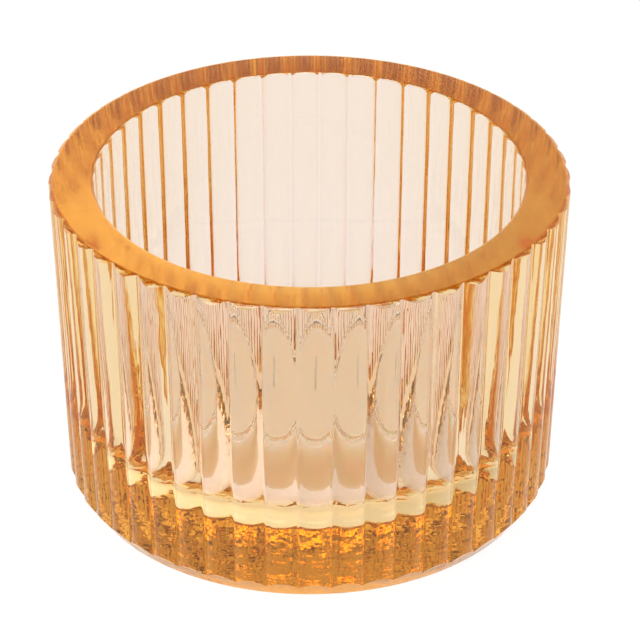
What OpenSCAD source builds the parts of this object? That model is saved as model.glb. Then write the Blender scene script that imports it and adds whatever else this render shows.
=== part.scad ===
// Fluted glass tealight holder with the tealight that stands in it.
// Millimetres, +Z up. The origin is the centre of the glass base, where it stands.
// The holder is one pressed piece of glass. The tealight lifts straight out of it.

/* [Glass] */
// Height of the holder
glass_h = 53; // [40:1:80]
// Diameter over the flute crests at the rim
rim_d = 80; // [74:1:110]
// Diameter over the flute crests at the base
base_d = 76; // [72:1:106]
// Diameter of the mouth at the rim
mouth_d = 66; // [54:1:67]
// Diameter of the hollow where its wall would meet the floor
floor_d = 65; // [52:1:66]
// Thickness of the solid floor
floor_t = 7; // [3:0.5:12]
// Radius in the corner between the floor and the inner wall
floor_corner_r = 12.5; // [1:0.5:13]
// Radius on the inner edge of the rim
mouth_edge_r = 0.6; // [0.2:0.1:1.2]
// Radius on the flute ends at the rim
rim_edge_r = 1.2; // [0.4:0.1:2]
// Height of the bevel under the flutes
bevel_h = 3; // [1:0.5:5]
// Width of the bevel under the flutes
bevel_w = 2; // [0.5:0.1:3]

/* [Flutes] */
// Number of convex flutes around the glass
flute_count = 48; // [36:1:72]
// Depth of the grooves between the flutes
groove_depth = 0.9; // [0.4:0.1:1.8]

/* [Tealight] */
// Outer diameter of the clear cup below its lip
cup_d = 37.4; // [34:0.2:42]
// Height of the clear cup
cup_h = 11.5; // [9:0.5:18]
// Wall and floor thickness of the clear cup
cup_t = 0.5; // [0.4:0.05:0.8]
// Outside radius at the bottom edge of the clear cup
cup_corner_r = 1.4; // [1:0.1:3]
// How far the lip of the clear cup stands out
lip_w = 0.5; // [0.2:0.1:1]
// Height of the lip of the clear cup
lip_h = 0.9; // [0.5:0.1:2]
// Depth of the wax surface below the top of the cup
wax_drop = 1.5; // [1:0.25:4]
// How far the wax dips from its edge to its centre
wax_dip = 0.5; // [0.1:0.1:1.5]
// Diameter of the waxed cotton wick
wick_d = 1.5; // [1:0.1:2.4]
// Height of the wick above the wax at its centre
wick_reach = 6; // [3:0.5:10]
// Diameter of the plate of the wick clip
clip_d = 12.6; // [9:0.2:18]
// Sheet thickness of the wick clip
clip_t = 0.3; // [0.2:0.05:0.5]
// Height of the collar of the wick clip
collar_h = 3.2; // [2:0.1:5]

/* [Fits] */
// Gap under the tealight, so that the two bodies never share a face
stand_gap = 0.3; // [0.1:0.05:0.5]
// Gap left around the wax as it shrinks in its cup
shrink_gap = 0.05; // [0.02:0.01:0.2]
// Gap between the wax and what is cast into it
cast_gap = 0.03; // [0.01:0.01:0.1]
// Gap between the wick and the collar of its clip
wick_gap = 0.05; // [0.02:0.01:0.15]

/* [Hidden] */
$fn = 96;

glass_colour = [0.93, 0.66, 0.33, 0.6];
clear_colour = [0.94, 0.96, 0.97, 0.35];
wax_colour = [0.95, 0.93, 0.88];
clip_colour = [0.70, 0.71, 0.72];
wick_colour = [0.93, 0.91, 0.84];

// Small overlap that lets a cut pass clean through a face
cut = 1;

// Glass: the flutes are round bars that lean in with the taper of the wall
rim_r = rim_d / 2;
base_r = base_d / 2;
flute_half_angle = 180 / flute_count;
groove_r = rim_r - groove_depth;
groove_drop = rim_r - groove_r * cos(flute_half_angle);
groove_side = groove_r * sin(flute_half_angle);
flute_r = (pow(groove_drop, 2) + pow(groove_side, 2)) / (2 * groove_drop);
flute_lean = atan((rim_r - base_r) / glass_h);
// The outer limit clears the flute crests by this much, so that they meet it at a clean edge
rim_slack = 0.05;
// The core stays just inside the groove line, so the grooves keep a clean V
core_inset = groove_depth + 0.15;

// Tealight: every height is counted up from where its cup comes to rest in the glass.
// It stands on the flat of the floor, or higher in the round corner if the flat is too small for it.
cup_r = cup_d / 2;
flat_r = floor_d / 2 - floor_corner_r;
rest_reach = max(floor_corner_r - cup_corner_r - stand_gap, 0);
rest_offset = max(cup_r - cup_corner_r - flat_r, 0);
cup_z = floor_t + stand_gap + rest_reach - sqrt(pow(rest_reach, 2) - pow(rest_offset, 2));
cup_in_r = cup_r - cup_t;
cup_floor_z = cup_z + cup_t;
cup_top_z = cup_z + cup_h;
cup_in_corner_r = cup_corner_r - cup_t;
wax_r = cup_in_r - shrink_gap;
wax_edge_z = cup_top_z - wax_drop;
wax_centre_z = wax_edge_z - wax_dip;
wick_r = wick_d / 2;
wick_top_z = wax_centre_z + wick_reach;
collar_in_r = wick_r + wick_gap;
collar_r = collar_in_r + clip_t;
// The collar of the clip spreads by this much, and over this height, where it meets its plate
foot_rise = 1;
collar_foot_r = collar_r + foot_rise;

// Points of a round corner about (x, z), from angle a0 to a1
function corner(x, z, r, a0, a1, steps = 12) =
    [for (i = [0 : steps]) let (a = a0 + (a1 - a0) * i / steps) [x + r * cos(a), z + r * sin(a)]];

// ---- Glass ----

// Round bar that makes one flute, standing on the base and leaning out to the rim
module flute() {
    translate([base_r - flute_r, 0, 0])
        rotate([0, flute_lean, 0])
            translate([0, 0, -cut])
                cylinder(r = flute_r, h = glass_h + 4 * cut);
}

module flutes() {
    for (i = [0 : flute_count - 1])
        rotate([0, 0, i * 360 / flute_count])
            flute();
}

// Plain tapered glass behind the flutes
module core() {
    cylinder(r1 = base_r - core_inset, r2 = rim_r - core_inset, h = glass_h);
}

// Outer limit of the glass, which rounds the flute ends at the rim and bevels them at the base
module outer_limit() {
    limit_r = rim_r + rim_slack;
    rotate_extrude()
        polygon(concat(
            [[0, 0], [base_r - bevel_w, 0], [base_r, bevel_h], [limit_r, bevel_h + limit_r - base_r]],
            corner(limit_r - rim_edge_r, glass_h - rim_edge_r, rim_edge_r, 0, 90),
            [[0, glass_h]]
        ));
}

// Hollow of the cup, wider at the mouth than at the floor
module hollow() {
    mouth_r = mouth_d / 2;
    floor_r = floor_d / 2;
    wall_lean = atan((mouth_r - floor_r) / (glass_h - floor_t));
    rotate_extrude()
        polygon(concat(
            [[0, floor_t]],
            corner(flat_r, floor_t + floor_corner_r, floor_corner_r, -90, -wall_lean),
            corner(mouth_r + mouth_edge_r, glass_h - mouth_edge_r, mouth_edge_r, 180 - wall_lean, 90),
            [[mouth_r + mouth_edge_r, glass_h + cut], [0, glass_h + cut]]
        ));
}

module glass_cup() {
    color(glass_colour)
        difference() {
            intersection() {
                union() {
                    core();
                    flutes();
                }
                outer_limit();
            }
            hollow();
        }
}

// ---- Tealight ----

// Clear moulded cup with a rounded bottom edge and a small lip
module tealight_cup() {
    color(clear_colour)
        rotate_extrude()
            polygon(concat(
                [[0, cup_z]],
                corner(cup_r - cup_corner_r, cup_z + cup_corner_r, cup_corner_r, -90, 0),
                [
                    [cup_r, cup_top_z - lip_h],
                    [cup_r + lip_w, cup_top_z - lip_h],
                    [cup_r + lip_w, cup_top_z],
                    [cup_in_r, cup_top_z]
                ],
                corner(cup_r - cup_corner_r, cup_z + cup_corner_r, cup_in_corner_r, 0, -90),
                [[0, cup_floor_z]]
            ));
}

// Wax cast into the cup, around the wick and over its clip
module tealight_wax() {
    color(wax_colour)
        difference() {
            rotate_extrude()
                polygon(concat(
                    [[0, cup_floor_z]],
                    corner(wax_r - cup_in_corner_r, cup_floor_z + cup_in_corner_r, cup_in_corner_r, -90, 0),
                    [[wax_r, wax_edge_z], [0, wax_centre_z]]
                ));
            clip_space();
            translate([0, 0, cup_floor_z - cut])
                cylinder(r = wick_r + cast_gap, h = cup_h + 2 * cut);
        }
}

// Outline of the wick clip, grown by a gap on every side that meets wax
module clip_outline(gap) {
    polygon([
        [0, cup_floor_z],
        [clip_d / 2 + gap, cup_floor_z],
        [clip_d / 2 + gap, cup_floor_z + clip_t + gap],
        [collar_foot_r + gap, cup_floor_z + clip_t + gap],
        [collar_r + gap, cup_floor_z + clip_t + foot_rise + gap],
        [collar_r + gap, cup_floor_z + collar_h + gap],
        [0, cup_floor_z + collar_h + gap]
    ]);
}

module clip_space() {
    rotate_extrude()
        clip_outline(cast_gap);
    translate([0, 0, cup_floor_z - cut])
        cylinder(d = clip_d + 2 * cast_gap, h = cut + clip_t);
}

// Steel plate with a collar that holds the wick upright under the wax
module wick_clip() {
    color(clip_colour)
        difference() {
            rotate_extrude()
                clip_outline(0);
            translate([0, 0, cup_floor_z - cut])
                cylinder(r = collar_in_r, h = collar_h + 2 * cut);
        }
}

// Waxed cotton wick, from the floor of its cup up through the wax
module wick() {
    color(wick_colour)
        translate([0, 0, cup_floor_z])
            cylinder(r = wick_r, h = wick_top_z - cup_floor_z);
}

glass_cup();
tealight_cup();
tealight_wax();
wick_clip();
wick();
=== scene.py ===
# %% [markdown]
# # A fluted amber glass tealight holder, lit on a light table
# The holder is one thick piece of pressed glass. Forty-eight round flutes run up its outside, its inside is
# a plain smooth bowl, and a small tealight stands on its floor. Glass shows almost nothing of its own: it
# bends and tints what is around it. So this scene spends its effort on three things, which are an exact
# shape, a tint that deepens with the thickness of the glass, and a soft white surrounding for the glass to
# bend.
#
# The first cell brings in the imported model as a fixed frame and keeps its box, whose top gives the
# height of the glass.

# %% Load the frame
import math

import bmesh
import bpy
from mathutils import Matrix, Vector


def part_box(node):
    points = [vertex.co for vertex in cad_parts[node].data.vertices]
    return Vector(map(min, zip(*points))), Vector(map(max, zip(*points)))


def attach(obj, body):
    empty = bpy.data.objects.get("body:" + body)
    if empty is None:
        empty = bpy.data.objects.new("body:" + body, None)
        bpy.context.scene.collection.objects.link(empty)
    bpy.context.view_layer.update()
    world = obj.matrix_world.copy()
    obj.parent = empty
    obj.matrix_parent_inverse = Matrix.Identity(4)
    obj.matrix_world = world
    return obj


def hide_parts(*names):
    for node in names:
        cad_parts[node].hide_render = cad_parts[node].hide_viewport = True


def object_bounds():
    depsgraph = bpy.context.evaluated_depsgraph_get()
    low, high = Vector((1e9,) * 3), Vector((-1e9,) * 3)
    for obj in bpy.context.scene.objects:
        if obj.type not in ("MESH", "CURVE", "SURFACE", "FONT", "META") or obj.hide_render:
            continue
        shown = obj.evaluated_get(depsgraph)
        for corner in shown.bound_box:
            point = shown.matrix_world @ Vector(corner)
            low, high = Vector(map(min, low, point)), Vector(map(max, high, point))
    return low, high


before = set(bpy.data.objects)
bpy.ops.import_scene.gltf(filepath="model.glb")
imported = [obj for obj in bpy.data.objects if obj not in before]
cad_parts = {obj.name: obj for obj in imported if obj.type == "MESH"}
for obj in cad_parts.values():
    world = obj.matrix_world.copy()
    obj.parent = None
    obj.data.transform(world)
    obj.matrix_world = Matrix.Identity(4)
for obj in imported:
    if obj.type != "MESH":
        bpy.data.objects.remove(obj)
cad_low, cad_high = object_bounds()
GLASS_H = cad_high.z
print("CAD box", [round(v, 5) for v in (*cad_low, *cad_high)])

# %% [markdown]
# ## The camera
# A long lens from a little over half a metre gives the gentle perspective of a table-top picture. The
# camera looks down at about thirty-one degrees, so that it sees over the front rim to the inside of the
# back wall. It stands a little to the left, which brings one flute just right of the middle. A small lens
# shift frames the object without tilting it.

# %% Camera
CAMERA_AZIMUTH = math.radians(-1.2)
CAMERA_ELEVATION = math.radians(31.46)
CAMERA_DISTANCE = 0.640
SENSOR_WIDTH = 36.0
LENS = 230.2
SHIFT_X = 0.0163
SHIFT_Y = 0.0123

aim = Vector((0.0, 0.0, GLASS_H / 2))
back = Vector((
    math.sin(CAMERA_AZIMUTH) * math.cos(CAMERA_ELEVATION),
    -math.cos(CAMERA_AZIMUTH) * math.cos(CAMERA_ELEVATION),
    math.sin(CAMERA_ELEVATION),
))
camera_data = bpy.data.cameras.new("table_camera")
camera_data.sensor_width = SENSOR_WIDTH
camera_data.lens = LENS
camera_data.shift_x = SHIFT_X
camera_data.shift_y = SHIFT_Y
camera = bpy.data.objects.new("table_camera", camera_data)
camera.location = aim + back * CAMERA_DISTANCE
camera.rotation_euler = back.to_track_quat("Z", "Y").to_euler()
bpy.context.scene.collection.objects.link(camera)
bpy.context.scene.camera = camera
print("camera at", [round(v, 4) for v in camera.location])

# %% [markdown]
# ## The light table
# Glass on an ordinary white card turns its own shadow brown, because the light that reaches the card under
# it has already crossed the glass. Product photographers use a sheet of milky acrylic lit from below
# instead. Here the floor is a plane with a little diffuse white and a steady glow of its own. It lies a
# hair under the base, so that the two never share a face. Right under the glass a lamp makes the glow
# stronger, more so on its left, which only shows as light in the rim: the light that leaves the rim has
# come up through the whole wall.

# %% Floor
FLOOR_SIZE = 6.0
FLOOR_GAP = 0.0002
FLOOR_GLOW = 0.95
FLOOR_WHITE = 0.08
LAMP_GLOW_LEFT = 1.34
LAMP_GLOW_RIGHT = 0.68
LAMP_R = 0.032
LAMP_EDGE = 0.005


def plain_material(name):
    """An empty node material, with its tree and its output node."""
    made = bpy.data.materials.new(name)
    made.use_nodes = True
    tree = made.node_tree
    tree.nodes.clear()
    return made, tree, tree.nodes.new("ShaderNodeOutputMaterial")


bpy.ops.mesh.primitive_plane_add(size=FLOOR_SIZE, location=(0.0, 0.0, -FLOOR_GAP))
floor = bpy.context.object
floor.name = "light_table"
acrylic, tree, out = plain_material("milky_acrylic")
shader = tree.nodes.new("ShaderNodeBsdfPrincipled")
shader.inputs["Base Color"].default_value = (FLOOR_WHITE, FLOOR_WHITE, FLOOR_WHITE, 1.0)
shader.inputs["Roughness"].default_value = 1.0
shader.inputs["Specular IOR Level"].default_value = 0.0
shader.inputs["Emission Color"].default_value = (1.0, 1.0, 1.0, 1.0)
place = tree.nodes.new("ShaderNodeTexCoord")
from_middle = tree.nodes.new("ShaderNodeVectorMath")
from_middle.operation = "LENGTH"
spread = tree.nodes.new("ShaderNodeMapRange")
spread.interpolation_type = "SMOOTHSTEP"
spread.inputs["From Min"].default_value = LAMP_R
spread.inputs["From Max"].default_value = LAMP_R + LAMP_EDGE
sideways = tree.nodes.new("ShaderNodeSeparateXYZ")
lamp = tree.nodes.new("ShaderNodeMapRange")
lamp.inputs["From Min"].default_value = -LAMP_R
lamp.inputs["From Max"].default_value = LAMP_R
lamp.inputs["To Min"].default_value = LAMP_GLOW_LEFT
lamp.inputs["To Max"].default_value = LAMP_GLOW_RIGHT
glow = tree.nodes.new("ShaderNodeMix")
glow.inputs["B"].default_value = FLOOR_GLOW
for a, b in (
    (place.outputs["Object"], from_middle.inputs[0]),
    (place.outputs["Object"], sideways.inputs[0]),
    (from_middle.outputs["Value"], spread.inputs["Value"]),
    (sideways.outputs["X"], lamp.inputs["Value"]),
    (spread.outputs[0], glow.inputs["Factor"]),
    (lamp.outputs[0], glow.inputs["A"]),
    (glow.outputs[0], shader.inputs["Emission Strength"]),
    (shader.outputs[0], out.inputs["Surface"]),
):
    tree.links.new(a, b)
floor.data.materials.append(acrylic)
print("floor glows at", FLOOR_GLOW)

# %% [markdown]
# ## The soft studio
# All the rest of the light comes from the sky of the scene, which stands for white cloths hung around the
# table. A vertical wall of glass passes every ray on at the height it came in at. Seen from thirty-one
# degrees, the glass therefore shows mostly two rings of the surroundings: the floor, and the ring
# thirty-one degrees up. That ring is kept dimmer, so that the rim stays a full orange. The foot also bends
# in light from higher up, where a dark ring, from about 46 to 70 degrees, gives its gold some depth. A
# small bright ceiling lights the wax.

# %% World
SKY_STOPS = [
    (0.00, 1.30),
    (0.30, 1.10),
    (0.42, 0.70),
    (0.60, 0.76),
    (0.70, 0.76),
    (0.72, 0.08),
    (0.94, 0.08),
    (0.96, 4.60),
]

world = bpy.data.worlds.new("white_cloths")
bpy.context.scene.world = world
world.use_nodes = True
sky = world.node_tree
backdrop = sky.nodes["Background"]
direction = sky.nodes.new("ShaderNodeTexCoord")
height = sky.nodes.new("ShaderNodeSeparateXYZ")
ramp = sky.nodes.new("ShaderNodeValToRGB")
sky.links.new(direction.outputs["Generated"], height.inputs[0])
sky.links.new(height.outputs["Z"], ramp.inputs[0])
sky.links.new(ramp.outputs[0], backdrop.inputs["Color"])
stops = ramp.color_ramp.elements
while len(stops) < len(SKY_STOPS):
    stops.new(0.5)
for stop, (place, level) in zip(stops, SKY_STOPS):
    stop.position = place
    stop.color = (level, level, level, 1.0)

LIGHT_BOUNCES = 24
GLOSSY_BOUNCES = 12
DIFFUSE_BOUNCES = 4
# A touch below one deepens the middle tones, as a contrasty film does, and leaves white white
FILM_GAMMA = 0.88
scene = bpy.context.scene
scene.view_settings.view_transform = "Standard"
scene.view_settings.gamma = FILM_GAMMA
scene.cycles.max_bounces = LIGHT_BOUNCES
scene.cycles.transmission_bounces = LIGHT_BOUNCES
scene.cycles.transparent_max_bounces = LIGHT_BOUNCES
scene.cycles.glossy_bounces = GLOSSY_BOUNCES
scene.cycles.diffuse_bounces = DIFFUSE_BOUNCES
scene.cycles.sample_clamp_indirect = 0.0
# Blurring would darken what lies behind several walls of glass
scene.cycles.blur_glossy = 0.0
print("sky levels", [level for _, level in SKY_STOPS])

# %% [markdown]
# ## A wavy surface, shared by the materials
# Glass pressed in a mould, moulded plastic and cast wax are never quite flat. Each has the same kind of
# slow waviness, at its own size and stretched its own way. One node group makes it, and each material sets
# its values. It gives a height, which a Bump node in the material turns into a normal.

# %% Waviness group
waviness = bpy.data.node_groups.new("waviness", "ShaderNodeTree")
for name, kind, default in (
    ("Size", "NodeSocketFloat", 0.005),
    ("Upright Stretch", "NodeSocketFloat", 1.0),
    ("Detail", "NodeSocketFloat", 2.0),
):
    socket = waviness.interface.new_socket(name=name, in_out="INPUT", socket_type=kind)
    socket.default_value = default
waviness.interface.new_socket(name="Height", in_out="OUTPUT", socket_type="NodeSocketFloat")
group_in = waviness.nodes.new("NodeGroupInput")
group_out = waviness.nodes.new("NodeGroupOutput")
place = waviness.nodes.new("ShaderNodeTexCoord")
per_size = waviness.nodes.new("ShaderNodeMath")
per_size.operation = "DIVIDE"
per_size.inputs[0].default_value = 1.0
upright = waviness.nodes.new("ShaderNodeMath")
upright.operation = "DIVIDE"
scale = waviness.nodes.new("ShaderNodeCombineXYZ")
stretched = waviness.nodes.new("ShaderNodeVectorMath")
stretched.operation = "MULTIPLY"
noise = waviness.nodes.new("ShaderNodeTexNoise")
noise.inputs["Scale"].default_value = 1.0
waviness.links.new(group_in.outputs["Size"], per_size.inputs[1])
waviness.links.new(per_size.outputs[0], upright.inputs[0])
waviness.links.new(group_in.outputs["Upright Stretch"], upright.inputs[1])
waviness.links.new(per_size.outputs[0], scale.inputs["X"])
waviness.links.new(per_size.outputs[0], scale.inputs["Y"])
waviness.links.new(upright.outputs[0], scale.inputs["Z"])
waviness.links.new(place.outputs["Object"], stretched.inputs[0])
waviness.links.new(scale.outputs[0], stretched.inputs[1])
waviness.links.new(stretched.outputs[0], noise.inputs["Vector"])
waviness.links.new(group_in.outputs["Detail"], noise.inputs["Detail"])
waviness.links.new(noise.outputs["Fac"], group_out.inputs["Height"])
print("waviness inputs", [s.name for s in waviness.interface.items_tree if s.in_out == "INPUT"])


def wavy_normal(tree, shader, size, stretch, depth, detail=2.0, stronger=None):
    """Puts the waviness group in a material and bends the shader's normal by depth metres of it.

    Where a socket is given as stronger, the height is multiplied by it, so that some places wave more.
    A second call on the same shader adds its waves on top of the first.
    """
    group = tree.nodes.new("ShaderNodeGroup")
    group.node_tree = waviness
    group.inputs["Size"].default_value = size
    group.inputs["Upright Stretch"].default_value = stretch
    group.inputs["Detail"].default_value = detail
    wave = group.outputs["Height"]
    if stronger:
        product = tree.nodes.new("ShaderNodeMath")
        product.operation = "MULTIPLY"
        tree.links.new(wave, product.inputs[0])
        tree.links.new(stronger, product.inputs[1])
        wave = product.outputs[0]
    bump = tree.nodes.new("ShaderNodeBump")
    bump.inputs["Distance"].default_value = depth
    tree.links.new(wave, bump.inputs["Height"])
    if shader.inputs["Normal"].is_linked:
        tree.links.new(shader.inputs["Normal"].links[0].from_socket, bump.inputs["Normal"])
    tree.links.new(bump.outputs["Normal"], shader.inputs["Normal"])
    return group


# %% [markdown]
# ## Amber glass
# The body of the glass takes away a little green and a lot of blue from every millimetre that light
# crosses. That is Beer's law, and a Volume Absorption node follows it exactly: thin walls look pale peach,
# while the rim, which is seen down its whole height, turns deep orange. A faint tint at the surface takes a
# little green, which keeps the thin walls peach and not yellow. The rim is ground flat and fire-polished,
# so it is a touch less smooth than the rest. A map of the height turns the roughness up only on that top
# face. Two sets of waves, one slow and one of fine upright draw lines, bend the light a little everywhere,
# and the slow ones are deeper at the foot.

# %% Glass material
GLASS_IOR = 1.5
SURFACE_TINT = (0.94, 0.885, 0.985)
# What one metre of glass takes from red, green and blue, as exponents
BODY_LOSS = (1.5, 12.0, 46.0)
LOSS_DENSITY = 80.0
RIM_ROUGHNESS = 0.18
RIM_FADE = 0.0003
# The slow waves, and then the fine draw lines: size, upright stretch and depth
WAVE_SIZE = 0.006
WAVE_STRETCH = 4.0
WAVE_DEPTH = 0.00008
DRAW_SIZE = 0.0009
DRAW_STRETCH = 14.0
DRAW_DEPTH = 0.000016
# The foot touches the cold mould first, so its slow waves are this many times deeper up to the low
# height. They fade to the plain depth at the high one.
FOOT_WAVES = 4.5
FOOT_LOW = 0.007
FOOT_HIGH = 0.026

amber_glass, tree, out = plain_material("amber_glass")
shader = tree.nodes.new("ShaderNodeBsdfPrincipled")
shader.inputs["Base Color"].default_value = (*SURFACE_TINT, 1.0)
shader.inputs["IOR"].default_value = GLASS_IOR
shader.inputs["Transmission Weight"].default_value = 1.0
absorb = tree.nodes.new("ShaderNodeVolumeAbsorption")
absorb.inputs["Color"].default_value = (*(1.0 - loss / LOSS_DENSITY for loss in BODY_LOSS), 1.0)
absorb.inputs["Density"].default_value = LOSS_DENSITY
place = tree.nodes.new("ShaderNodeTexCoord")
axes = tree.nodes.new("ShaderNodeSeparateXYZ")
ground = tree.nodes.new("ShaderNodeMapRange")
ground.inputs["From Min"].default_value = GLASS_H - RIM_FADE
ground.inputs["From Max"].default_value = GLASS_H
ground.inputs["To Min"].default_value = 0.0
ground.inputs["To Max"].default_value = RIM_ROUGHNESS
tree.links.new(place.outputs["Object"], axes.inputs[0])
tree.links.new(axes.outputs["Z"], ground.inputs["Value"])
tree.links.new(ground.outputs[0], shader.inputs["Roughness"])
foot = tree.nodes.new("ShaderNodeMapRange")
foot.inputs["From Min"].default_value = FOOT_LOW
foot.inputs["From Max"].default_value = FOOT_HIGH
foot.inputs["To Min"].default_value = FOOT_WAVES
foot.inputs["To Max"].default_value = 1.0
tree.links.new(axes.outputs["Z"], foot.inputs["Value"])
wavy_normal(tree, shader, WAVE_SIZE, WAVE_STRETCH, WAVE_DEPTH, stronger=foot.outputs[0])
wavy_normal(tree, shader, DRAW_SIZE, DRAW_STRETCH, DRAW_DEPTH)
tree.links.new(shader.outputs[0], out.inputs["Surface"])
tree.links.new(absorb.outputs[0], out.inputs["Volume"])
print("loss per metre", BODY_LOSS)

# %% [markdown]
# ## The half section of the glass
# Seen cut in half, the holder is a simple outline: a flat base, a bevel, the fluted wall, a rounded edge,
# the flat rim and the smooth bowl inside. Only the bevel, the wall and the outer edge change on the way
# round. So each point of the outline carries a zone number and a share t of the way through its zone. The
# next step reads them, and works out where the point goes for each angle. Plain points, in zone 0, keep
# their place.

# %% Outline of the glass
BASE_R = 0.038
RIM_R = 0.040
MOUTH_R = 0.033
BOWL_R = 0.0325
FLOOR_T = 0.007
BOWL_CORNER_R = 0.0125
MOUTH_EDGE_R = 0.0006
BASE_RINGS = (0.0, 0.012, 0.024, 0.033)
FLOOR_RINGS = (0.016, 0.008, 0.0)
BEVEL_STEPS = 6
WALL_STEPS = 8
RIM_EDGE_STEPS = 8
MOUTH_STEPS = 6
BOWL_WALL_STEPS = 8
BOWL_CORNER_STEPS = 14
PLAIN, BEVEL, WALL, RIM_EDGE = 0, 1, 2, 3


def arc(x, z, radius, start, end, steps):
    """Points of an arc about (x, z), from the angle start to end in degrees."""
    turns = [math.radians(start + (end - start) * i / steps) for i in range(steps + 1)]
    return [(x + radius * math.cos(turn), z + radius * math.sin(turn)) for turn in turns]


bowl_lean = math.degrees(math.atan((MOUTH_R - BOWL_R) / (GLASS_H - FLOOR_T)))
mouth_arc = arc(
    MOUTH_R + MOUTH_EDGE_R, GLASS_H - MOUTH_EDGE_R, MOUTH_EDGE_R, 90, 180 - bowl_lean, MOUTH_STEPS)
bowl_arc = arc(
    BOWL_R - BOWL_CORNER_R, FLOOR_T + BOWL_CORNER_R, BOWL_CORNER_R, -bowl_lean, -90, BOWL_CORNER_STEPS)


def evenly(start, end, steps):
    """Points that divide a straight line, without its two ends."""
    shares = [i / steps for i in range(1, steps)]
    return [(start[0] + (end[0] - start[0]) * s, start[1] + (end[1] - start[1]) * s) for s in shares]


bowl = mouth_arc + evenly(mouth_arc[-1], bowl_arc[0], BOWL_WALL_STEPS) + bowl_arc
outline = [(r, 0.0, PLAIN, 0.0) for r in BASE_RINGS]
outline += [(0.0, 0.0, BEVEL, i / BEVEL_STEPS) for i in range(BEVEL_STEPS)]
outline += [(0.0, 0.0, WALL, i / WALL_STEPS) for i in range(WALL_STEPS)]
outline += [(0.0, 0.0, RIM_EDGE, i / RIM_EDGE_STEPS) for i in range(RIM_EDGE_STEPS + 1)]
outline += [(r, z, PLAIN, 0.0) for r, z in bowl]
outline += [(r, FLOOR_T, PLAIN, 0.0) for r in FLOOR_RINGS]

section_mesh = bpy.data.meshes.new("glass_section")
section_points = [(r, 0.0, z) for r, z, _, _ in outline]
section_mesh.from_pydata(section_points, [(i, i + 1) for i in range(len(outline) - 1)], [])
zones = section_mesh.attributes.new("zone", "INT", "POINT")
zones.data.foreach_set("value", [zone for _, _, zone, _ in outline])
shares = section_mesh.attributes.new("share", "FLOAT", "POINT")
shares.data.foreach_set("value", [share for _, _, _, share in outline])
print("outline points", len(outline))

# %% [markdown]
# ## The flutes follow a rule
# Each flute is part of a round bar. The bars stand side by side and lean in with the wall, and their
# meeting lines are the grooves. Turning the outline round the axis in a loop of Python would work, but the
# rule is short enough for Geometry Nodes: a grid has one row for each point of the outline and one column
# for each angle, and Set Position wraps it into the glass. The number of flutes and the depth of the
# grooves stay live inputs.
#
# The helper below writes a sum as nodes, so that the tree reads almost like the formula.

# %% Helper for node sums
def sum_writer(tree):
    """A function that adds one Math node to the tree and gives back its result."""

    def write(operation, *values):
        node = tree.nodes.new("ShaderNodeMath")
        node.operation = operation
        for socket, value in zip(node.inputs, values):
            if isinstance(value, (int, float)):
                socket.default_value = value
            else:
                tree.links.new(value, socket)
        return node.outputs[0]

    return write


def tree_inputs(tree, rows):
    """Adds named inputs to a Geometry Nodes tree and gives back their identifiers by name."""
    found = {}
    for name, kind, default in rows:
        socket = tree.interface.new_socket(name=name, in_out="INPUT", socket_type=kind)
        if default is not None:
            socket.default_value = default
        found[name] = socket.identifier
    return found


# %% [markdown]
# ## The tree of the fluted glass
# For an angle b away from the middle of a flute, a bar of radius p whose centre stands at c from the axis
# has its surface at c cos b + sqrt(p^2 - (c sin b)^2). The bevel is a cone and the rim edge a quarter ring.
# Where they meet the bars, the crossing makes the scalloped lines at the top and the bottom of the flutes.
# The tree finds both crossings for each angle and starts the wall exactly there, so the scallops come out
# crisp.

# %% Fluted glass tree
FLUTES = 48
STEPS_PER_FLUTE = 20
GROOVE_DEPTH = 0.0009

flute_tree = bpy.data.node_groups.new("fluted_glass", "GeometryNodeTree")
flute_tree.interface.new_socket(name="Geometry", in_out="INPUT", socket_type="NodeSocketGeometry")
flute_ids = tree_inputs(flute_tree, [
    ("Flutes", "NodeSocketInt", FLUTES),
    ("Steps per Flute", "NodeSocketInt", STEPS_PER_FLUTE),
    ("Groove Depth", "NodeSocketFloat", GROOVE_DEPTH),
    ("Height", "NodeSocketFloat", GLASS_H),
    ("Base Radius", "NodeSocketFloat", BASE_R),
    ("Rim Radius", "NodeSocketFloat", RIM_R),
    ("Bevel Width", "NodeSocketFloat", 0.002),
    ("Bevel Height", "NodeSocketFloat", 0.003),
    ("Rim Edge Radius", "NodeSocketFloat", 0.0012),
    ("Rim Edge Reach", "NodeSocketFloat", 0.04005),
    ("Valley Share", "NodeSocketFloat", 0.1),
    ("Sharp Over", "NodeSocketFloat", 0.44),
    ("Glass", "NodeSocketMaterial", None),
])
flute_tree.interface.new_socket(name="Geometry", in_out="OUTPUT", socket_type="NodeSocketGeometry")
given = flute_tree.nodes.new("NodeGroupInput").outputs
result = flute_tree.nodes.new("NodeGroupOutput")
calc = sum_writer(flute_tree)

size = flute_tree.nodes.new("GeometryNodeAttributeDomainSize")
flute_tree.links.new(given["Geometry"], size.inputs[0])
columns = calc("ADD", calc("MULTIPLY", given["Flutes"], given["Steps per Flute"]), 1)
grid = flute_tree.nodes.new("GeometryNodeMeshGrid")
flute_tree.links.new(size.outputs["Point Count"], grid.inputs["Vertices X"])
flute_tree.links.new(columns, grid.inputs["Vertices Y"])
index = flute_tree.nodes.new("GeometryNodeInputIndex").outputs[0]
row = calc("FLOOR", calc("DIVIDE", calc("ADD", index, 0.5), columns))
column = calc("SUBTRACT", index, calc("MULTIPLY", row, columns))


def from_outline(value, kind):
    """Reads one value of the outline at this row."""
    sample = flute_tree.nodes.new("GeometryNodeSampleIndex")
    sample.data_type = kind
    flute_tree.links.new(given["Geometry"], sample.inputs["Geometry"])
    flute_tree.links.new(value, sample.inputs["Value"])
    flute_tree.links.new(row, sample.inputs["Index"])
    return sample.outputs[0]


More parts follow.
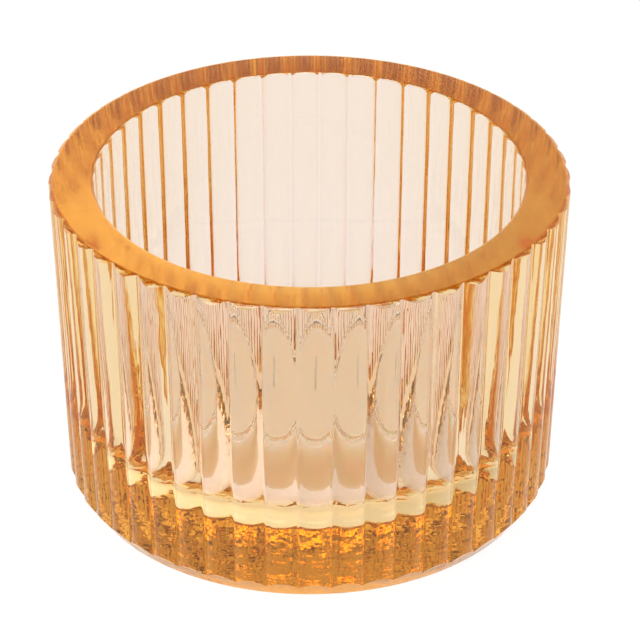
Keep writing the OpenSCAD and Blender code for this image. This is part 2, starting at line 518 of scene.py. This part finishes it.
def named(name, kind):
    """An attribute of the outline by its name."""
    node = flute_tree.nodes.new("GeometryNodeInputNamedAttribute")
    node.data_type = kind
    node.inputs["Name"].default_value = name
    return node.outputs["Attribute"]


where = flute_tree.nodes.new("ShaderNodeSeparateXYZ")
position = flute_tree.nodes.new("GeometryNodeInputPosition").outputs[0]
flute_tree.links.new(from_outline(position, "FLOAT_VECTOR"), where.inputs[0])
plain_r, plain_z = where.outputs["X"], where.outputs["Z"]
zone = from_outline(named("zone", "INT"), "INT")
share = from_outline(named("share", "FLOAT"), "FLOAT")

# Keeps a column that lies on a groove from falling into the flute before it
ROUNDING_GUARD = 0.001
# How far up the bevel and the rim edge the flutes are measured, to find where they meet
BEVEL_MEETING = 0.75
EDGE_MEETING = 0.5

# The angle round the glass, with the columns crowded towards the grooves by a sine
half_angle = calc("DIVIDE", math.pi, given["Flutes"])
along = calc("DIVIDE", column, given["Steps per Flute"])
flute_number = calc("FLOOR", calc("ADD", along, ROUNDING_GUARD))
side = calc("SUBTRACT", calc("MULTIPLY", calc("SUBTRACT", along, flute_number), 2.0), 1.0)
crowded = calc("SINE", calc("MULTIPLY", side, math.pi / 2))
off_middle = calc("MULTIPLY", crowded, half_angle)
angle = calc("ADD", calc("MULTIPLY", calc("MULTIPLY", flute_number, half_angle), 2.0), off_middle)

# Fire polishing rounds the bottom of each groove: in that share of the flute, the angle that sets the radius
# slows down to a stop, so that both sides of the groove come level where they meet
off_share = calc("ABSOLUTE", crowded)
valley_start = calc("SUBTRACT", 1.0, given["Valley Share"])
past_start = calc("MAXIMUM", calc("SUBTRACT", off_share, valley_start), 0.0)
into_valley = calc("DIVIDE", past_start, given["Valley Share"])
held_back = calc("MULTIPLY", calc("MULTIPLY", calc("POWER", into_valley, 2.0), given["Valley Share"]), 0.5)
bar_angle = calc("MULTIPLY", calc("SUBTRACT", off_share, held_back), half_angle)

# The round bar that makes a flute: its radius comes from the depth of the grooves
groove_r = calc("SUBTRACT", given["Rim Radius"], given["Groove Depth"])
drop = calc("SUBTRACT", given["Rim Radius"], calc("MULTIPLY", groove_r, calc("COSINE", half_angle)))
reach = calc("MULTIPLY", groove_r, calc("SINE", half_angle))
squares = calc("ADD", calc("POWER", drop, 2.0), calc("POWER", reach, 2.0))
bar_r = calc("DIVIDE", squares, calc("MULTIPLY", drop, 2.0))
taper = calc("DIVIDE", calc("SUBTRACT", given["Rim Radius"], given["Base Radius"]), given["Height"])


def flute_r(z):
    """Radius of the fluted wall at height z, at this column's angle."""
    centre = calc("SUBTRACT", calc("ADD", given["Base Radius"], calc("MULTIPLY", taper, z)), bar_r)
    across = calc("POWER", calc("MULTIPLY", centre, calc("SINE", bar_angle)), 2.0)
    return calc("ADD", calc("MULTIPLY", centre, calc("COSINE", bar_angle)),
                calc("SQRT", calc("SUBTRACT", calc("POWER", bar_r, 2.0), across)))


# The bevel, and the height at which it meets the flutes
foot_r = calc("SUBTRACT", given["Base Radius"], given["Bevel Width"])
bevel_slope = calc("DIVIDE", given["Bevel Height"], given["Bevel Width"])
bevel_side_r = flute_r(calc("MULTIPLY", given["Bevel Height"], BEVEL_MEETING))
bevel_top = calc("MULTIPLY", bevel_slope, calc("SUBTRACT", bevel_side_r, foot_r))
bevel_z = calc("MULTIPLY", share, bevel_top)
bevel_r = calc("ADD", foot_r, calc("DIVIDE", bevel_z, bevel_slope))

# The rounded rim edge, and the angle at which it meets the flutes
edge_x = calc("SUBTRACT", given["Rim Edge Reach"], given["Rim Edge Radius"])
edge_z = calc("SUBTRACT", given["Height"], given["Rim Edge Radius"])
edge_side_r = flute_r(calc("ADD", edge_z, calc("MULTIPLY", given["Rim Edge Radius"], EDGE_MEETING)))
edge_share = calc("DIVIDE", calc("SUBTRACT", edge_side_r, edge_x), given["Rim Edge Radius"])
edge_start = calc("ARCCOSINE", calc("MINIMUM", 1.0, edge_share))
edge_turn = calc("ADD", edge_start, calc("MULTIPLY", share, calc("SUBTRACT", math.pi / 2, edge_start)))
rim_r = calc("ADD", edge_x, calc("MULTIPLY", given["Rim Edge Radius"], calc("COSINE", edge_turn)))
rim_z = calc("ADD", edge_z, calc("MULTIPLY", given["Rim Edge Radius"], calc("SINE", edge_turn)))

# The wall, from one crossing to the other
wall_end = calc("ADD", edge_z, calc("MULTIPLY", given["Rim Edge Radius"], calc("SINE", edge_start)))
wall_z = calc("ADD", bevel_top, calc("MULTIPLY", share, calc("SUBTRACT", wall_end, bevel_top)))
wall_r = flute_r(wall_z)


def by_zone(*values):
    """The value for this row's zone, out of one for each zone in order."""
    switch = flute_tree.nodes.new("GeometryNodeIndexSwitch")
    switch.data_type = "FLOAT"
    while len(switch.index_switch_items) < len(values):
        switch.index_switch_items.new()
    flute_tree.links.new(zone, switch.inputs["Index"])
    for socket, value in zip(switch.inputs[1:], values):
        flute_tree.links.new(value, socket)
    return switch.outputs[0]


radius = by_zone(plain_r, bevel_r, wall_r, rim_r)
point = flute_tree.nodes.new("ShaderNodeCombineXYZ")
flute_tree.links.new(calc("MULTIPLY", radius, calc("COSINE", angle)), point.inputs["X"])
flute_tree.links.new(calc("MULTIPLY", radius, calc("SINE", angle)), point.inputs["Y"])
flute_tree.links.new(by_zone(plain_z, bevel_z, wall_z, rim_z), point.inputs["Z"])
print("sums in the tree", len(flute_tree.nodes))

# %% [markdown]
# The grid is still an open sheet whose first and last columns meet. Merge by Distance closes that seam and
# the two poles on the axis. The corners at the bevel and the rim must stay crisp, so every edge that turns
# by more than about twenty-five degrees is marked sharp. The rest is shaded smooth, the rounded grooves
# too.

# %% Close and finish the sheet
WELD = 0.000002

wrap = flute_tree.nodes.new("GeometryNodeSetPosition")
weld = flute_tree.nodes.new("GeometryNodeMergeByDistance")
weld.inputs["Distance"].default_value = WELD
bend = flute_tree.nodes.new("GeometryNodeInputMeshEdgeAngle")
sharp = flute_tree.nodes.new("FunctionNodeCompare")
smooth_faces = flute_tree.nodes.new("GeometryNodeSetShadeSmooth")
smooth_faces.domain = "FACE"
sharp_edges = flute_tree.nodes.new("GeometryNodeSetShadeSmooth")
sharp_edges.domain = "EDGE"
sharp_edges.inputs["Shade Smooth"].default_value = False
realize = flute_tree.nodes.new("GeometryNodeRealizeInstances")
finish_glass = flute_tree.nodes.new("GeometryNodeSetMaterial")
for a, b in (
    (grid.outputs["Mesh"], wrap.inputs["Geometry"]),
    (point.outputs[0], wrap.inputs["Position"]),
    (wrap.outputs[0], weld.inputs["Geometry"]),
    (weld.outputs[0], smooth_faces.inputs["Geometry"]),
    (smooth_faces.outputs[0], sharp_edges.inputs["Geometry"]),
    (bend.outputs["Unsigned Angle"], sharp.inputs[0]),
    (given["Sharp Over"], sharp.inputs[1]),
    (sharp.outputs[0], sharp_edges.inputs["Selection"]),
    (sharp_edges.outputs[0], realize.inputs[0]),
    (realize.outputs[0], finish_glass.inputs["Geometry"]),
    (given["Glass"], finish_glass.inputs["Material"]),
    (finish_glass.outputs[0], result.inputs[0]),
):
    flute_tree.links.new(a, b)


def grown(name, start_mesh, tree, values, ids):
    """Runs a Geometry Nodes tree on a start mesh and gives back a new object that holds the plain result."""
    seed = bpy.data.objects.new(name + "_seed", start_mesh)
    bpy.context.scene.collection.objects.link(seed)
    modifier = seed.modifiers.new(name, "NODES")
    modifier.node_group = tree
    for key, value in values.items():
        modifier[ids[key]] = value
    seed.update_tag()
    bpy.context.view_layer.update()
    graph = bpy.context.evaluated_depsgraph_get()
    shown = seed.evaluated_get(graph)
    mesh = bpy.data.meshes.new_from_object(shown, preserve_all_data_layers=True, depsgraph=graph)
    mesh.name = name
    seed.modifiers.remove(modifier)
    bpy.data.objects.remove(seed)
    made = bpy.data.objects.new(name, mesh)
    bpy.context.scene.collection.objects.link(made)
    return made


def inside_out(mesh):
    """True if the faces of a closed mesh point inwards, by the sign of its volume."""
    probe = bmesh.new()
    probe.from_mesh(mesh)
    volume = probe.calc_volume(signed=True)
    open_edges = sum(1 for edge in probe.edges if len(edge.link_faces) != 2)
    probe.free()
    print(mesh.name, "volume in cubic mm", round(volume * 1e9, 1), "open edges", open_edges)
    return volume < 0


glass = grown("holder_glass", section_mesh, flute_tree, {
    "Flutes": FLUTES,
    "Steps per Flute": STEPS_PER_FLUTE,
    "Groove Depth": GROOVE_DEPTH,
    "Height": GLASS_H,
    "Base Radius": BASE_R,
    "Rim Radius": RIM_R,
    "Glass": amber_glass,
}, flute_ids)
if inside_out(glass.data):
    glass.data.flip_normals()
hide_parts("glass_cup")
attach(glass, "holder")
print("glass faces", len(glass.data.polygons))

# %% [markdown]
# ## Round pieces of the tealight
# The tealight's cup and its wax are turned shapes, so both come from a half section that is spun about the
# axis. A short function does that. It makes one pole point where the section touches the axis, which keeps
# the middle closed, and marks crisp corners by their angle.

# %% Turning function
TURN_STEPS = 160
CRISP_ANGLE = math.radians(35)
# A point nearer the axis than this is a pole
POLE_R = 1e-7


def turned(name, section, material):
    """Spins a closed half section of (radius, height) points about the axis into one closed piece."""
    probe = bmesh.new()
    rings = []
    for r, z in section:
        if r < POLE_R:
            rings.append([probe.verts.new((0.0, 0.0, z))] * TURN_STEPS)
            continue
        turns = [2 * math.pi * i / TURN_STEPS for i in range(TURN_STEPS)]
        rings.append([probe.verts.new((r * math.cos(t), r * math.sin(t), z)) for t in turns])
    for low, high in zip(rings, rings[1:]):
        for i in range(TURN_STEPS):
            j = (i + 1) % TURN_STEPS
            corners = list(dict.fromkeys((low[i], low[j], high[j], high[i])))
            if len(corners) > 2:
                probe.faces.new(corners).smooth = True
    bmesh.ops.recalc_face_normals(probe, faces=probe.faces)
    for edge in probe.edges:
        edge.smooth = edge.calc_face_angle(0.0) < CRISP_ANGLE
    mesh = bpy.data.meshes.new(name)
    probe.to_mesh(mesh)
    probe.free()
    mesh.materials.append(material)
    made = bpy.data.objects.new(name, mesh)
    bpy.context.scene.collection.objects.link(made)
    inside_out(mesh)
    return made


# %% [markdown]
# ## The clear cup
# The cup that holds the wax is thin clear plastic with a small lip to stiffen it. It stands a hair over the
# glass floor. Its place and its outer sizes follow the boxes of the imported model.

# %% Clear cup
CUP_T = 0.0005
CUP_CORNER_R = 0.0014
LIP_W = 0.0005
LIP_H = 0.0009
LIP_EDGE_R = 0.0002
CUP_CORNER_STEPS = 8
LIP_STEPS = 4
PLASTIC_TINT = (0.99, 0.99, 0.985)
PLASTIC_ROUGHNESS = 0.04
PLASTIC_IOR = 1.49
PLASTIC_WAVE_SIZE = 0.004
PLASTIC_WAVE_DEPTH = 0.00001

cup_low, cup_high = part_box("tealight_cup")
cup_z, cup_top = cup_low.z, cup_high.z
cup_r = cup_high.x - LIP_W
# The wax wets the plastic, so the cup's inner wall starts a hair inside the wax
WETTING = 0.0001
cup_in_r = cup_r - CUP_T - WETTING
cup_in_corner_r = CUP_CORNER_R - CUP_T

clear_plastic, tree, out = plain_material("clear_plastic")
shader = tree.nodes.new("ShaderNodeBsdfPrincipled")
shader.inputs["Base Color"].default_value = (*PLASTIC_TINT, 1.0)
shader.inputs["Roughness"].default_value = PLASTIC_ROUGHNESS
shader.inputs["IOR"].default_value = PLASTIC_IOR
shader.inputs["Transmission Weight"].default_value = 1.0
wavy_normal(tree, shader, PLASTIC_WAVE_SIZE, 1.0, PLASTIC_WAVE_DEPTH)
tree.links.new(shader.outputs[0], out.inputs["Surface"])

corner_x, corner_z = cup_r - CUP_CORNER_R, cup_z + CUP_CORNER_R
lip_x = cup_r + LIP_W - LIP_EDGE_R
lip_low_z, lip_top_z = cup_top - LIP_H + LIP_EDGE_R, cup_top - LIP_EDGE_R
cup_section = [(0.0, cup_z)]
cup_section += arc(corner_x, corner_z, CUP_CORNER_R, -90, 0, CUP_CORNER_STEPS)
cup_section += [(cup_r, cup_top - LIP_H)]
cup_section += arc(lip_x, lip_low_z, LIP_EDGE_R, -90, 0, LIP_STEPS)
cup_section += arc(lip_x, lip_top_z, LIP_EDGE_R, 0, 90, LIP_STEPS)
cup_section += arc(cup_in_r + LIP_EDGE_R, lip_top_z, LIP_EDGE_R, 90, 180, LIP_STEPS)
cup_section += arc(
    cup_in_r - cup_in_corner_r, corner_z + WETTING, cup_in_corner_r, 0, -90, CUP_CORNER_STEPS)
cup_section += [(0.0, cup_z + CUP_T + WETTING)]
cup = turned("tealight_clear_cup", cup_section, clear_plastic)
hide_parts("tealight_cup")
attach(cup, "tealight")

# %% [markdown]
# ## The wax
# Paraffin shrinks as it sets, so its top dips to the wick and creeps a little up the wall of the cup. Light
# goes in and comes out elsewhere, which is what subsurface scattering is for. The surface has a soft mottle
# and a satin gloss. Its peach tint keeps it near the colour of the glass. A new tealight has no pool or
# soot.

# %% Wax
WAX_COLOUR = (0.99, 0.84, 0.68)
WAX_DEEP_COLOUR = (0.98, 0.81, 0.64)
WAX_GLOSS = 0.42
WAX_SCATTER = 0.010
CREEP_W = 0.0012
WICK_HOLE_R = 0.00078
WICK_CREEP = 0.0005
WICK_CREEP_REACH = 0.0006
WAX_DIP = 0.0005
# Drop of the creeping edge, and the shares of the dip and of the creep at the wick that show
CREEP_DROP = 0.0003
DIP_SHARE = 0.4
CREEP_SHARE = 0.6
CREEP_STEPS = 12
TOP_STEPS = 25
WAX_IOR = 1.43
# How far red, green and blue spread in the wax, as shares of the scatter
WAX_REACH = (1.0, 0.7, 0.5)
WAX_WAVE_SIZE = 0.0022
WAX_WAVE_DEPTH = 0.00006

wax_low, wax_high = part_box("tealight_wax")
wax_r = wax_high.x
wax_z, wax_top = wax_low.z, wax_high.z

wax_material, tree, out = plain_material("paraffin")
shader = tree.nodes.new("ShaderNodeBsdfPrincipled")
shader.inputs["Roughness"].default_value = WAX_GLOSS
shader.inputs["IOR"].default_value = WAX_IOR
shader.inputs["Subsurface Weight"].default_value = 1.0
shader.inputs["Subsurface Radius"].default_value = WAX_REACH
shader.inputs["Subsurface Scale"].default_value = WAX_SCATTER
mottle = wavy_normal(tree, shader, WAX_WAVE_SIZE, 1.0, WAX_WAVE_DEPTH, detail=3.0)
blend = tree.nodes.new("ShaderNodeMix")
blend.data_type = "RGBA"
blend.inputs[6].default_value = (*WAX_COLOUR, 1.0)
blend.inputs[7].default_value = (*WAX_DEEP_COLOUR, 1.0)
tree.links.new(mottle.outputs["Height"], blend.inputs[0])
tree.links.new(blend.outputs[2], shader.inputs["Base Color"])
tree.links.new(shader.outputs[0], out.inputs["Surface"])

wax_section = [(0.0, wax_z)]
wax_section += arc(
    wax_r - cup_in_corner_r, wax_z + cup_in_corner_r, cup_in_corner_r, -90, 0, CUP_CORNER_STEPS)
for i in range(CREEP_STEPS + 1):
    share_in = i / CREEP_STEPS
    r = wax_r - CREEP_W * share_in
    wax_section.append((r, wax_top - CREEP_DROP * math.sin(share_in * math.pi / 2)))
for i in range(1, TOP_STEPS):
    share_in = i / TOP_STEPS
    r = (wax_r - CREEP_W) * (1 - share_in)
    dip = WAX_DIP * (1 - (1 - share_in) ** 2)
    creep = WICK_CREEP * math.exp(-max(r - WICK_HOLE_R, 0.0) / WICK_CREEP_REACH)
    wax_section.append((r, wax_top - CREEP_DROP - dip * DIP_SHARE + creep * CREEP_SHARE))
wax_section.append((0.0, wax_section[-1][1]))
wax = turned("tealight_wax_body", wax_section, wax_material)
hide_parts("tealight_wax")
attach(wax, "tealight")

# %% [markdown]
# ## The wick
# A tealight wick is cotton plaited round and dipped in wax. Two sets of three strands wind opposite ways
# about the same line. Geometry Nodes draws one strand as a spiral, gives it thickness, mirrors the winding
# with a second spiral and repeats both by turning them round the axis.

# %% Wick tree
wick_low, wick_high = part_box("wick")
WICK_R = wick_high.x
STRAND_R = 0.00024
STRANDS_EACH_WAY = 3
WICK_TURNS = 3.5
# Keeps the strands just inside the wick's own size
STRAND_SLACK = 0.00001
SPIRAL_STEPS = 20
THREAD_STEPS = 10

wick_tree = bpy.data.node_groups.new("plaited_wick", "GeometryNodeTree")
wick_tree.interface.new_socket(name="Geometry", in_out="INPUT", socket_type="NodeSocketGeometry")
wick_ids = tree_inputs(wick_tree, [
    ("Strands Each Way", "NodeSocketInt", STRANDS_EACH_WAY),
    ("Turns", "NodeSocketFloat", WICK_TURNS),
    ("Plait Radius", "NodeSocketFloat", 0.0005),
    ("Length", "NodeSocketFloat", 0.014),
    ("Strand Radius", "NodeSocketFloat", STRAND_R),
    ("Foot Height", "NodeSocketFloat", 0.006),
    ("Cotton", "NodeSocketMaterial", None),
])
wick_tree.interface.new_socket(name="Geometry", in_out="OUTPUT", socket_type="NodeSocketGeometry")
given = wick_tree.nodes.new("NodeGroupInput").outputs
result = wick_tree.nodes.new("NodeGroupOutput")
calc = sum_writer(wick_tree)
both_ways = wick_tree.nodes.new("GeometryNodeJoinGeometry")
for reverse in (False, True):
    spiral = wick_tree.nodes.new("GeometryNodeCurveSpiral")
    spiral.inputs["Resolution"].default_value = SPIRAL_STEPS
    spiral.inputs["Reverse"].default_value = reverse
    wick_tree.links.new(given["Turns"], spiral.inputs["Rotations"])
    wick_tree.links.new(given["Plait Radius"], spiral.inputs["Start Radius"])
    wick_tree.links.new(given["Plait Radius"], spiral.inputs["End Radius"])
    wick_tree.links.new(given["Length"], spiral.inputs["Height"])
    thread = wick_tree.nodes.new("GeometryNodeCurvePrimitiveCircle")
    thread.inputs["Resolution"].default_value = THREAD_STEPS
    wick_tree.links.new(given["Strand Radius"], thread.inputs["Radius"])
    sweep = wick_tree.nodes.new("GeometryNodeCurveToMesh")
    sweep.inputs["Fill Caps"].default_value = True
    spots = wick_tree.nodes.new("GeometryNodeMeshLine")
    spots.inputs["Offset"].default_value = (0.0, 0.0, 0.0)
    wick_tree.links.new(given["Strands Each Way"], spots.inputs["Count"])
    turn = wick_tree.nodes.new("ShaderNodeCombineXYZ")
    number = wick_tree.nodes.new("GeometryNodeInputIndex").outputs[0]
    part_turn = calc("DIVIDE", calc("MULTIPLY", number, 2 * math.pi), given["Strands Each Way"])
    wick_tree.links.new(part_turn, turn.inputs["Z"])
    place_strands = wick_tree.nodes.new("GeometryNodeInstanceOnPoints")
    for a, b in (
        (spiral.outputs[0], sweep.inputs["Curve"]),
        (thread.outputs[0], sweep.inputs["Profile Curve"]),
        (spots.outputs[0], place_strands.inputs["Points"]),
        (sweep.outputs[0], place_strands.inputs["Instance"]),
        (turn.outputs[0], place_strands.inputs["Rotation"]),
        (place_strands.outputs[0], both_ways.inputs[0]),
    ):
        wick_tree.links.new(a, b)
lift = wick_tree.nodes.new("GeometryNodeTransform")
lift_by = wick_tree.nodes.new("ShaderNodeCombineXYZ")
realize = wick_tree.nodes.new("GeometryNodeRealizeInstances")
smooth = wick_tree.nodes.new("GeometryNodeSetShadeSmooth")
dip = wick_tree.nodes.new("GeometryNodeSetMaterial")
for a, b in (
    (both_ways.outputs[0], realize.inputs[0]),
    (given["Foot Height"], lift_by.inputs["Z"]),
    (realize.outputs[0], lift.inputs["Geometry"]),
    (lift_by.outputs[0], lift.inputs["Translation"]),
    (lift.outputs[0], smooth.inputs["Geometry"]),
    (smooth.outputs[0], dip.inputs["Geometry"]),
    (given["Cotton"], dip.inputs["Material"]),
    (dip.outputs[0], result.inputs[0]),
):
    wick_tree.links.new(a, b)
print("wick from", round(wick_low.z, 4), "to", round(wick_high.z, 4))

# %% [markdown]
# Waxed cotton is cream coloured, with fine fibres along each strand. A stretched noise gives the fibres,
# and a little sheen the loose lint that the wax leaves standing.

# %% Wick material and piece
COTTON_COLOUR = (0.93, 0.90, 0.83)
COTTON_SHADE = (0.80, 0.75, 0.65)
COTTON_ROUGHNESS = 0.75
COTTON_SHEEN = 0.2
FIBRE_SIZE = 0.00012
FIBRE_STRETCH = 4.0
FIBRE_DEPTH = 0.00003

cotton, tree, out = plain_material("waxed_cotton")
shader = tree.nodes.new("ShaderNodeBsdfPrincipled")
shader.inputs["Roughness"].default_value = COTTON_ROUGHNESS
shader.inputs["Sheen Weight"].default_value = COTTON_SHEEN
fibre = wavy_normal(tree, shader, FIBRE_SIZE, FIBRE_STRETCH, FIBRE_DEPTH, detail=3.0)
blend = tree.nodes.new("ShaderNodeMix")
blend.data_type = "RGBA"
blend.inputs[6].default_value = (*COTTON_COLOUR, 1.0)
blend.inputs[7].default_value = (*COTTON_SHADE, 1.0)
tree.links.new(fibre.outputs["Height"], blend.inputs[0])
tree.links.new(blend.outputs[2], shader.inputs["Base Color"])
tree.links.new(shader.outputs[0], out.inputs["Surface"])

WICK_END_GAP = STRAND_R
seed_mesh = bpy.data.meshes.new("wick_start")
wick = grown("tealight_wick", seed_mesh, wick_tree, {
    "Strands Each Way": STRANDS_EACH_WAY,
    "Turns": WICK_TURNS,
    "Plait Radius": WICK_R - STRAND_R - STRAND_SLACK,
    "Length": wick_high.z - wick_low.z - 2 * WICK_END_GAP,
    "Strand Radius": STRAND_R,
    "Foot Height": wick_low.z + WICK_END_GAP,
    "Cotton": cotton,
}, wick_ids)
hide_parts("wick")
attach(wick, "tealight")
print("wick faces", len(wick.data.polygons))

# %% [markdown]
# ## The wick clip
# The clip is pressed from thin steel sheet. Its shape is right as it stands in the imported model, so the
# piece stays and only gets its finish. Rolling leaves fine straight lines along the sheet, which a noise
# stretched along X gives as small changes of roughness.

# %% Steel of the clip
STEEL_COLOUR = (0.66, 0.66, 0.65)
# Rolling lines per metre along X, and across it
LINES_ALONG = 150.0
LINES_ACROSS = 6000.0
STEEL_SMOOTHEST = 0.25
STEEL_ROUGHEST = 0.45

steel, tree, out = plain_material("pressed_steel")
shader = tree.nodes.new("ShaderNodeBsdfPrincipled")
shader.inputs["Base Color"].default_value = (*STEEL_COLOUR, 1.0)
shader.inputs["Metallic"].default_value = 1.0
place = tree.nodes.new("ShaderNodeTexCoord")
lines_map = tree.nodes.new("ShaderNodeMapping")
lines_map.inputs["Scale"].default_value = (LINES_ALONG, LINES_ACROSS, LINES_ACROSS)
lines = tree.nodes.new("ShaderNodeTexNoise")
lines.inputs["Scale"].default_value = 1.0
rolled = tree.nodes.new("ShaderNodeMapRange")
rolled.inputs["To Min"].default_value = STEEL_SMOOTHEST
rolled.inputs["To Max"].default_value = STEEL_ROUGHEST
tree.links.new(place.outputs["Object"], lines_map.inputs[0])
tree.links.new(lines_map.outputs[0], lines.inputs["Vector"])
tree.links.new(lines.outputs["Fac"], rolled.inputs["Value"])
tree.links.new(rolled.outputs[0], shader.inputs["Roughness"])
tree.links.new(shader.outputs[0], out.inputs["Surface"])
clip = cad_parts["wick_clip"]
for material_slot in clip.material_slots:
    material_slot.material = steel
print("clip slots", len(clip.material_slots))
